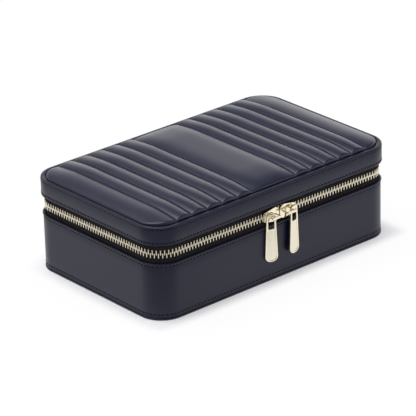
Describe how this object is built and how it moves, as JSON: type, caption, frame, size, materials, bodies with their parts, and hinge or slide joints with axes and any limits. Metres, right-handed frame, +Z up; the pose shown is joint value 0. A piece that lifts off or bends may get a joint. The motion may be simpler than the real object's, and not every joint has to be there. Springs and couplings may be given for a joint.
{
  "type": "jewellery case",
  "caption": "Zipped leather jewellery case with a quilted padded lid on a leather spine, brass zip sliders with hanging pull tabs, and a lined, divided inside with ring rolls and a mirror.",
  "frame": {"origin": "middle of the underside", "axes": "+X along the long front, +Z up, zip sliders towards -Y"},
  "size_m": [0.2236, 0.1447, 0.0753],
  "materials": {
    "navy_leather": "smooth semi-gloss dyed leather",
    "quilted_leather": "smooth quilted leather over foam",
    "board": "raw fibreboard",
    "lining": "short-pile suede cloth",
    "ring_pads": "suede cloth over foam",
    "zip_tape": "woven black tape",
    "zip_brass": "polished pale gold",
    "mirror": "silvered glass"
  },
  "bodies": {
    "base": {"bottom_panel": "navy_leather", "base_wall": "navy_leather", "base_frame": "board", "floor_board": "board", "base_lining": "lining", "floor_pad": "lining", "long_divider": "lining", "front_left_divider": "lining", "front_right_divider": "lining", "back_left_divider": "lining", "back_right_divider": "lining", "ring_block": "ring_pads", "ring_roll_1": "ring_pads", "ring_roll_2": "ring_pads", "ring_roll_3": "ring_pads", "ring_roll_4": "ring_pads", "base_zip_tape": "zip_tape", "base_zip_teeth": "zip_brass", "base_zip_stops": "zip_brass", "hinge_spine": "navy_leather"},
    "lid": {"lid_band": "navy_leather", "lid_welt": "navy_leather", "lid_frame": "board", "lid_top_board": "board", "quilted_top": "quilted_leather", "headliner": "lining", "lid_lining": "lining", "mirror": "mirror", "mirror_frame": "lining", "lid_zip_tape": "zip_tape", "lid_zip_teeth": "zip_brass", "lid_zip_stops": "zip_brass"},
    "left_slider": {"left_slider": "zip_brass", "left_bail": "zip_brass"},
    "right_slider": {"right_slider": "zip_brass", "right_bail": "zip_brass"},
    "left_pull": {"left_pull": "zip_brass"},
    "right_pull": {"right_pull": "zip_brass"}
  },
  "joints": [
    {"name": "lid_hinge", "type": "hinge", "parent": "base", "child": "lid", "pos_m": [0, 0.0668, 0.04975], "axis": [-1, 0, 0], "range_deg": [0, 110], "deforming": ["hinge_spine"]},
    {"name": "left_slider_travel", "type": "slide", "parent": "base", "child": "left_slider", "axis": [-1, 0, 0], "range_m": [0, 0.076], "deforming": ["base_zip_teeth", "lid_zip_teeth"]},
    {"name": "left_pull_swing", "type": "hinge", "parent": "left_slider", "child": "left_pull", "pos_m": [-0.0096, -0.0718, 0.04975], "axis": [0, 1, 0], "range_deg": [-8, 90]},
    {"name": "right_slider_travel", "type": "slide", "parent": "base", "child": "right_slider", "axis": [1, 0, 0], "range_m": [0, 0.074], "deforming": ["base_zip_teeth", "lid_zip_teeth"]},
    {"name": "right_pull_swing", "type": "hinge", "parent": "right_slider", "child": "right_pull", "pos_m": [0.012, -0.0718, 0.04975], "axis": [0, -1, 0], "range_deg": [-8, 90]}
  ]
}
